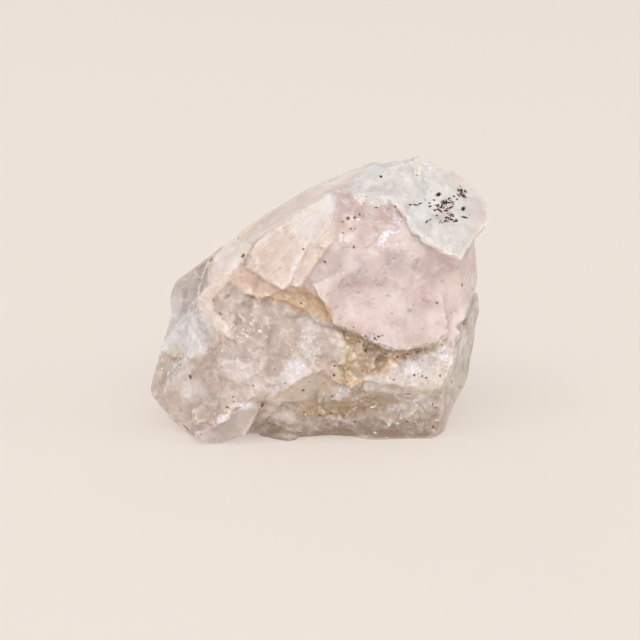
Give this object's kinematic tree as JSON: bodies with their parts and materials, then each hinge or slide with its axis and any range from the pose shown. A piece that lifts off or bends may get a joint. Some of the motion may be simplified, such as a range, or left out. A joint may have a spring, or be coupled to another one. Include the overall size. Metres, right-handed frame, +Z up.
{
  "type": "rough morganite crystal",
  "caption": "Rough pink beryl crystal mass with cleaved steps and a pale cap, grown together with milky quartz, resting on a flat base.",
  "frame": {"origin": "middle of the bounding box's base, on the flat that the stone rests on", "axes": "+Z up, -Y towards the front with the pink face and its ledge, +X to the right, along the longest side"},
  "size_m": [0.0314, 0.0248, 0.0253],
  "materials": {
    "crystal": "milky translucent pale pink beryl and greyish quartz, glassy on cleavage faces, sugary where broken, with ochre stain and dark mineral specks"
  },
  "bodies": {
    "root": {"morganite_crystal": "crystal"}
  },
  "joints": []
}
